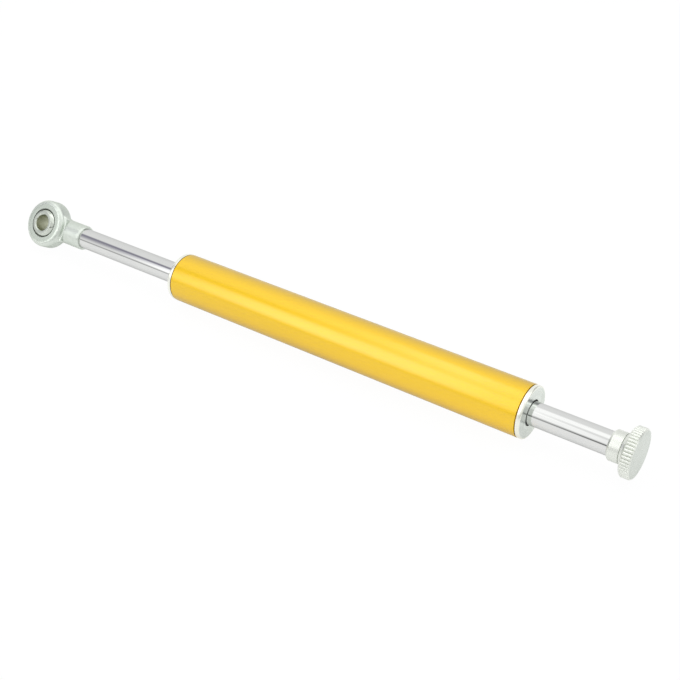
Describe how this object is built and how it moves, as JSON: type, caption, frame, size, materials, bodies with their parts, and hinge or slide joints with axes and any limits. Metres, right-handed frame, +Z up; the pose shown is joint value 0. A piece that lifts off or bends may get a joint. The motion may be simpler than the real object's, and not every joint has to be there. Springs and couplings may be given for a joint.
{
  "type": "motorcycle steering damper",
  "caption": "Through-rod hydraulic steering damper: gold tube with gland caps, chromed sliding rod, swivelling rod end with a bolt bore, and a fluted click knob that sets the damping.",
  "frame": {"origin": "middle of the damper tube, on its axis", "axes": "+X along the tube and rod towards the adjuster knob, +Z up; the rod end's bolt bore leans 34 degrees up from -Y"},
  "size_m": [0.3292, 0.0226, 0.0226],
  "materials": {
    "gold_anodised": "satin gold anodising",
    "cap_aluminium": "fine turned, bright",
    "knob_aluminium": "satin, clear anodised",
    "plain_aluminium": "turned",
    "hard_chrome": "polished hard chrome",
    "zinc_steel": "bright zinc plate, satin",
    "bearing_steel": "polished",
    "plain_steel": "turned",
    "spring_steel": "phosphated",
    "bronze": "sintered",
    "seat_brass": "turned",
    "black_rubber": "matt",
    "brown_rubber": "matt",
    "filled_ptfe": "matt"
  },
  "bodies": {
    "barrel": {"damper_tube": "gold_anodised", "left_end_cap": "cap_aluminium", "right_end_cap": "cap_aluminium", "left_wiper_seal": "black_rubber", "right_wiper_seal": "black_rubber", "left_rod_seal": "brown_rubber", "right_rod_seal": "brown_rubber", "left_seal_washer": "plain_steel", "right_seal_washer": "plain_steel", "left_guide_bush": "bronze", "right_guide_bush": "bronze", "left_bush_clip": "spring_steel", "right_bush_clip": "spring_steel", "left_cap_ring": "black_rubber", "right_cap_ring": "black_rubber"},
    "ring": {"piston_ring": "filled_ptfe"},
    "rod": {"piston_rod": "hard_chrome", "piston": "plain_aluminium", "piston_clips": "spring_steel", "valve_seat": "seat_brass", "rod_end_housing": "zinc_steel", "rod_end_liner": "filled_ptfe", "click_collar": "knob_aluminium", "click_ball": "bearing_steel", "click_spring": "spring_steel"},
    "ball": {"rod_end_ball": "bearing_steel"},
    "knob": {"adjuster_knob": "knob_aluminium", "snap_ring": "spring_steel"},
    "needle": {"valve_needle": "plain_steel", "needle_ring": "black_rubber"}
  },
  "joints": [
    {"name": "rod_slide", "type": "slide", "parent": "barrel", "child": "ring", "axis": [1, 0, 0], "range_m": [-0.03275, 0.06375]},
    {"name": "rod_turn", "type": "hinge", "parent": "ring", "child": "rod", "pos_m": [0, 0, 0], "axis": [1, 0, 0], "continuous": true},
    {"name": "ball_tilt", "type": "hinge", "parent": "rod", "child": "ball", "pos_m": [-0.18155, 0, 0], "axis": [0, 0.5592, 0.829], "range_deg": [-11, 11]},
    {"name": "knob_turn", "type": "hinge", "parent": "rod", "child": "knob", "pos_m": [0.1298, 0, 0], "axis": [1, 0, 0], "range_deg": [-360, 360]},
    {"name": "needle_travel", "type": "slide", "parent": "knob", "child": "needle", "axis": [1, 0, 0], "range_m": [-0.00071, 0.00071]}
  ],
  "couplings": [
    {"joint": "needle_travel", "follows": "knob_turn", "m_per_rad": 0.00011141}
  ]
}
